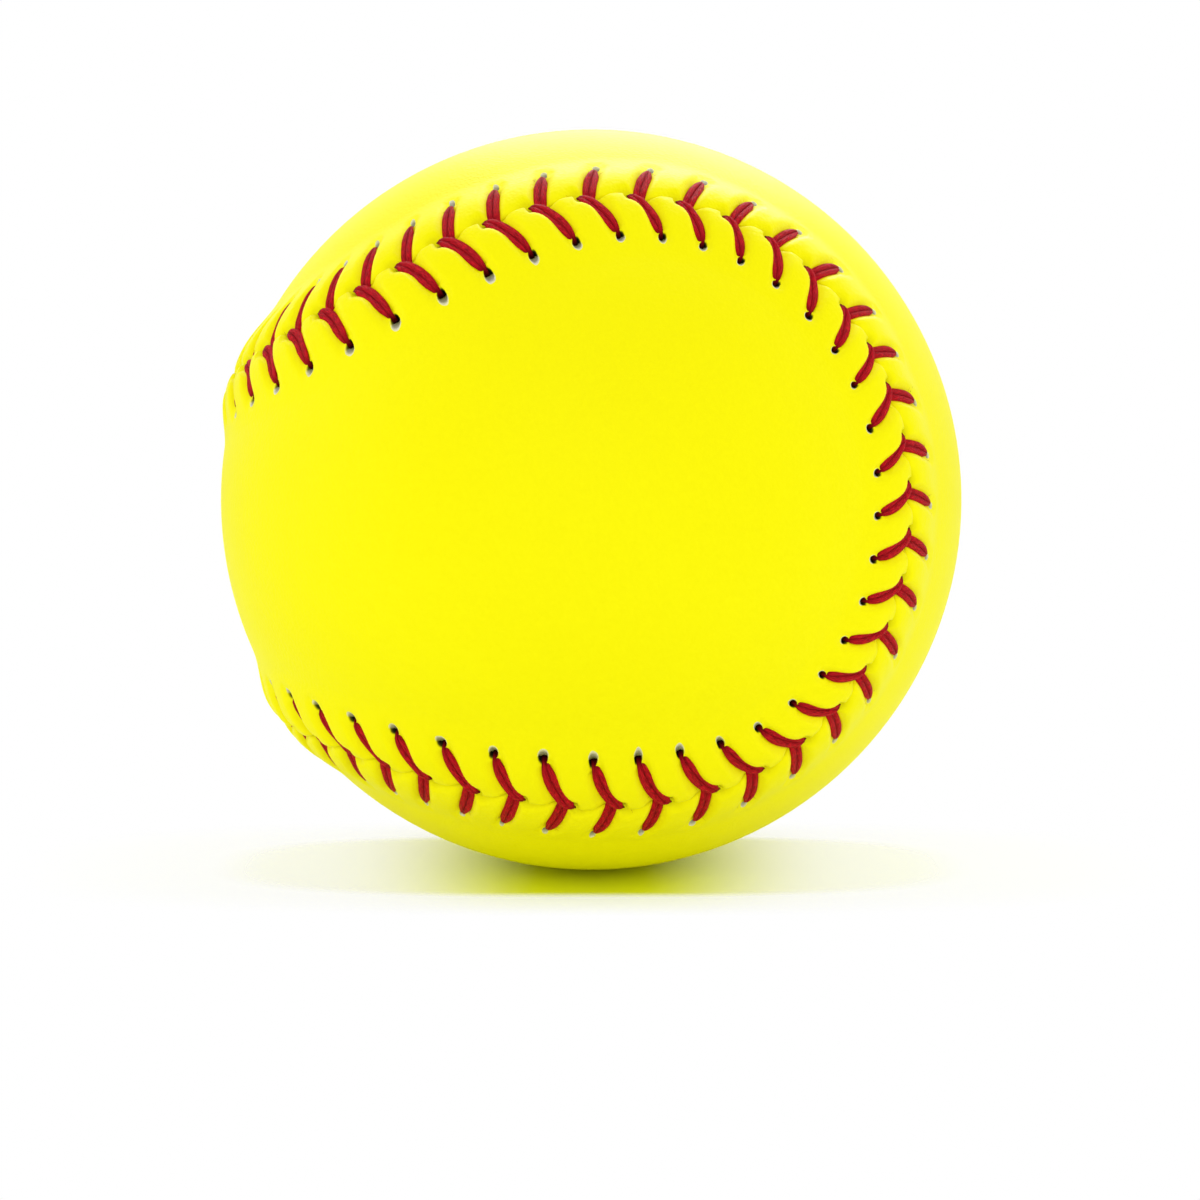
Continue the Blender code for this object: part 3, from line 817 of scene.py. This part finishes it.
thread = thread_material()
laying = copies_tree("stitch_legs")
fuzz = np.random.default_rng(FUZZ_SEED)
fibre = bpy.data.objects.new("fibre", fibre_mesh("fibre"))
bpy.context.scene.collection.objects.link(fibre)
for number, word in ((0, "first"), (1, "second")):
    legs = []
    for side in (1, -1):
        mesh, length = leg_mesh(side, "leg_" + word)
        source = bpy.data.objects.new("leg_" + word, mesh)
        bpy.context.scene.collection.objects.link(source)
        stitches = np.arange((number + (side == -1)) % 2, STITCH_COUNT, 2) * PITCH
        hole_along, hole_inset = leg_path(side, LEG_START)
        starts = on_ball(stitches + hole_along, hole_inset, side)
        ends = on_ball(stitches + LEG_TIP[side][0], LEG_TIP[side][1], side)
        middles = (starts + ends) / 2
        ups = middles / np.linalg.norm(middles, axis=1, keepdims=True)
        reach = np.linalg.norm(ends - starts, axis=1)
        piece = points_object("legs_" + word, ups * BALL_RADIUS,
                              (ends - starts) / reach[:, None], ups, reach / length)
        bake_tree(piece, laying, {"Source": source, "Unevenness": 0.07, "Seed": LEG_SEED + number,
                                  "Material": thread})
        bpy.data.objects.remove(source)
        legs.append(piece)
        loose = fibres_object("fibres_" + word, stitches, side)
        bake_tree(loose, laying, {"Source": fibre, "Unevenness": 0.3, "Seed": FIBRE_SEED + number,
                                  "Material": thread})
        legs.append(loose)
    with bpy.context.temp_override(active_object=legs[0], selected_editable_objects=legs):
        bpy.ops.object.join()
    lacing = legs[0]
    lacing.name = "lacing_" + word
    face_outwards(lacing.data)
    lacing.data.shade_smooth()
    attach(lacing, "root")
    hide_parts("lacing_thread_" + word)
bpy.data.objects.remove(fibre)

# The core is a solid ball of foam, poured into a mould of two halves. It keeps a fine closed
# skin, with small sunken bubbles in it and a low line round it where the halves met.

MOULD_LINE = 0.00035                # half width of that line


def foam_material():
    """Cream foam: bubbles under the skin, a little yellowing, the line of the mould."""
    material, tree, shader = new_material("foam_core", (0.78, 0.73, 0.58), 0.85)
    place = add_node(tree, "ShaderNodeTexCoord").outputs["Object"]
    stain = add_node(tree, "ShaderNodeTexNoise", Vector=place, Scale=60.0, Detail=5.0)
    tone = mix_colour(tree, stain.outputs["Fac"], (0.72, 0.63, 0.42), (0.84, 0.80, 0.68))
    bubbles = add_node(tree, "ShaderNodeTexVoronoi", {"feature": "SMOOTH_F1"}, Vector=place,
                       Scale=900.0, Smoothness=0.35)
    height = add_node(tree, "ShaderNodeSeparateXYZ", Vector=place).outputs["Z"]
    across = maths(tree, "DIVIDE", height, MOULD_LINE)
    squared = maths(tree, "MULTIPLY", across, across)
    line = maths(tree, "EXPONENT", maths(tree, "MULTIPLY", squared, -1.0))
    tree.links.new(mix_colour(tree, maths(tree, "MULTIPLY", line, 0.4), tone, (0.60, 0.52, 0.34)),
                   shader.inputs["Base Color"])
    relief = maths(tree, "ADD", line, bubbles.outputs["Distance"])
    emboss(tree, shader, relief, strength=0.5, distance=0.0003)
    return material


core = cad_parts["core"]
core.data.materials.clear()
core.data.materials.append(foam_material())

# Each panel is stuck down with a film of contact cement. It is brushed on in long strokes and
# dries to an amber rubber, thicker and darker where the strokes overlap.


def cement_material():
    """Amber cement: brush strokes that stand up a little, glossy where they are thick."""
    material, tree, shader = new_material("contact_cement", (0.60, 0.42, 0.16), 0.35)
    place = add_node(tree, "ShaderNodeTexCoord").outputs["Object"]
    stretched = add_node(tree, "ShaderNodeVectorMath", {"operation": "MULTIPLY"}, i0=place,
                         i1=(90.0, 700.0, 700.0))
    strokes = add_node(tree, "ShaderNodeTexNoise", Vector=stretched.outputs[0], Scale=1.0,
                       Detail=4.0, Distortion=0.8)
    pools = add_node(tree, "ShaderNodeTexNoise", Vector=place, Scale=120.0, Detail=3.0)
    thick = maths(tree, "MULTIPLY_ADD", pools.outputs["Fac"], 0.5,
                  maths(tree, "MULTIPLY", strokes.outputs["Fac"], 0.5))
    tree.links.new(mix_colour(tree, thick, (0.74, 0.60, 0.33), (0.42, 0.25, 0.07)),
                   shader.inputs["Base Color"])
    gloss = add_node(tree, "ShaderNodeMapRange", Value=thick, To_Min=0.55, To_Max=0.22)
    tree.links.new(gloss.outputs["Result"], shader.inputs["Roughness"])
    emboss(tree, shader, thick, strength=0.4, distance=0.0002)
    return material


cement = cement_material()
for word in ("front", "back"):
    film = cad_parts["cement_film_" + word]
    film.data.materials.clear()
    film.data.materials.append(cement)

# The ball lies on a sheet of white board, which fades into the white behind it. The camera sees
# only the patch that holds the contact shadow. The board's own colour is painted yellow round the
# ball, a painted stand-in for the light off the leather.

BOARD_SIZE = 1.2
SHADOW_WIDTH = 0.046                # half size of the patch of board in view
SHADOW_DEPTH = 0.015
SHADOW_AHEAD = 0.0035
PAINTED_BOUNCE_SHAPE = (1.25, 0.85, 1.0)      # the board's painted yellow bounce light is an oval


def board_material():
    """White board that the camera sees only round the ball, with painted yellow bounce light near
    it.
    """
    material = bpy.data.materials.new("white_board")
    material.use_nodes = True
    tree = material.node_tree
    tree.nodes.clear()
    place = add_node(tree, "ShaderNodeTexCoord").outputs["Object"]
    split = add_node(tree, "ShaderNodeSeparateXYZ", Vector=place)
    aside = maths(tree, "ABSOLUTE", split.outputs["X"])
    ahead = maths(tree, "ABSOLUTE", maths(tree, "ADD", split.outputs["Y"], SHADOW_AHEAD))
    wide = maths(tree, "POWER", maths(tree, "DIVIDE", aside, SHADOW_WIDTH), 3.0)
    deep = maths(tree, "POWER", maths(tree, "DIVIDE", ahead, SHADOW_DEPTH), 3.0)
    outline = maths(tree, "ADD", wide, deep)
    # Beyond this outline the camera sees white in place of the board, so the outline, not the
    # lamps, sets the contact shadow's edge in view: sharp in front, paler towards its ends
    edge = eased(tree, outline, 0.75, 1.35, start=0.65, end=0.0)
    fringe = eased(tree, outline, 0.8, 5.0, start=0.35, end=0.0)
    ends = eased(tree, aside, 0.006, 0.036, start=1.0, end=0.35)
    shown = maths(tree, "MULTIPLY", maths(tree, "ADD", edge, fringe), ends)
    camera_ray = add_node(tree, "ShaderNodeLightPath").outputs["Is Camera Ray"]
    hidden = maths(tree, "MULTIPLY", maths(tree, "SUBTRACT", 1.0, shown), camera_ray)
    scaled = add_node(tree, "ShaderNodeVectorMath", {"operation": "MULTIPLY"}, i0=place,
                      i1=PAINTED_BOUNCE_SHAPE)
    away = add_node(tree, "ShaderNodeVectorMath", {"operation": "LENGTH"}, i0=scaled.outputs[0])
    # The board's colour is painted yellow near the ball and pale cream further out, standing in for
    # the light that the leather throws on it
    painted_bounce_fade = eased(tree, away.outputs["Value"], 0.016, 0.038)
    tint = mix_colour(tree, painted_bounce_fade, (0.93, 1.0, 0.02), (0.95, 0.985, 0.77))
    board = add_node(tree, "ShaderNodeBsdfDiffuse", Color=tint)
    clear = add_node(tree, "ShaderNodeBsdfTransparent")
    mix = add_node(tree, "ShaderNodeMixShader", i0=hidden, i1=board.outputs[0],
                   i2=clear.outputs[0])
    out = add_node(tree, "ShaderNodeOutputMaterial")
    tree.links.new(mix.outputs[0], out.inputs["Surface"])
    return material


bpy.ops.mesh.primitive_plane_add(size=BOARD_SIZE, location=(0, 0, -BALL_RADIUS))
board = bpy.context.object
board.name = "board"
board.data.materials.append(board_material())

# The light is soft and even: a tent of white cloth, softboxes in front, at both sides and up
# behind, and black card round the camera, so that the front of the ball reflects little.

TENT_LEVEL = 0.68
SHEEN_LOW = 0.9                     # what the leather reflects of the tent behind the ball
SHEEN_HIGH = 1.9
BLACK_CARD = 0.0
KEY_POWER = 1.55
BACK_POWER = 1.3
SIDE_POWER = 0.8
RIM_POWER = 2.0

world = bpy.data.worlds.new("white_tent")
bpy.context.scene.world = world
world.use_nodes = True
sky = world.node_tree
sky.nodes.clear()
look = add_node(sky, "ShaderNodeTexCoord").outputs["Generated"]
split = add_node(sky, "ShaderNodeSeparateXYZ", Vector=look)
behind = eased(sky, split.outputs["Y"], -0.25, 0.60)
above = add_node(sky, "ShaderNodeMapRange", Value=split.outputs["Z"], From_Max=0.4,
                 To_Min=SHEEN_LOW, To_Max=SHEEN_HIGH)
sheen = maths(sky, "MULTIPLY_ADD", behind, above.outputs["Result"], BLACK_CARD)
rays = add_node(sky, "ShaderNodeLightPath").outputs
mirrored = add_node(sky, "ShaderNodeMix", {"data_type": "FLOAT"}, i0=rays["Is Glossy Ray"],
                    i2=TENT_LEVEL, i3=sheen)
seen = add_node(sky, "ShaderNodeMix", {"data_type": "FLOAT"}, i0=rays["Is Camera Ray"],
                i2=mirrored.outputs[0], i3=1.0)
white = add_node(sky, "ShaderNodeBackground", Color=(1, 1, 1, 1), Strength=seen.outputs[0])
leave = add_node(sky, "ShaderNodeOutputWorld")
sky.links.new(white.outputs[0], leave.inputs["Surface"])


def softbox(name, place, size, power, glossy):
    """Square lamp that points at the ball."""
    lamp = bpy.data.lights.new(name, "AREA")
    lamp.size = size
    lamp.energy = power
    holder = bpy.data.objects.new(name, lamp)
    holder.location = place
    holder.rotation_euler = (-Vector(place)).to_track_quat("-Z", "Y").to_euler()
    holder.visible_glossy = glossy
    bpy.context.scene.collection.objects.link(holder)
    return holder


softbox("key", (-0.05, -0.70, 0.32), 0.55, KEY_POWER, False)
softbox("back", (0.05, 0.35, 0.50), 0.50, BACK_POWER, True)
rim = softbox("rim", (0.05, 0.55, 0.42), 0.40, RIM_POWER, True)
rim.visible_diffuse = False
softbox("left", (-0.65, 0.05, 0.12), 0.45, SIDE_POWER, False)
softbox("right", (0.65, 0.05, 0.12), 0.45, SIDE_POWER, False)

# The camera looks straight at the ball from a little above, framed as in the photograph. Its
# lens and shift put the ball's outline at the same radius and centre in pixels.

CAMERA_ELEVATION = math.radians(6)
CAMERA_DISTANCE = 6.752 * BALL_RADIUS
IMAGE_PIXELS = 1200
BALL_PIXELS = 370.3
BALL_CENTRE = (591.2, 499.5)

camera = bpy.data.cameras.new("camera")
focal_pixels = BALL_PIXELS * math.sqrt((CAMERA_DISTANCE / BALL_RADIUS) ** 2 - 1)
camera.lens = camera.sensor_width * focal_pixels / IMAGE_PIXELS
camera.shift_x = (IMAGE_PIXELS / 2 - BALL_CENTRE[0]) / IMAGE_PIXELS
camera.shift_y = (BALL_CENTRE[1] - IMAGE_PIXELS / 2) / IMAGE_PIXELS
camera.clip_start = 0.01
holder = bpy.data.objects.new("camera", camera)
holder.location = (0, -CAMERA_DISTANCE * math.cos(CAMERA_ELEVATION),
                   CAMERA_DISTANCE * math.sin(CAMERA_ELEVATION))
holder.rotation_euler = (math.pi / 2 - CAMERA_ELEVATION, 0, 0)
bpy.context.scene.collection.objects.link(holder)
bpy.context.scene.camera = holder
bpy.context.scene.view_settings.view_transform = "Standard"
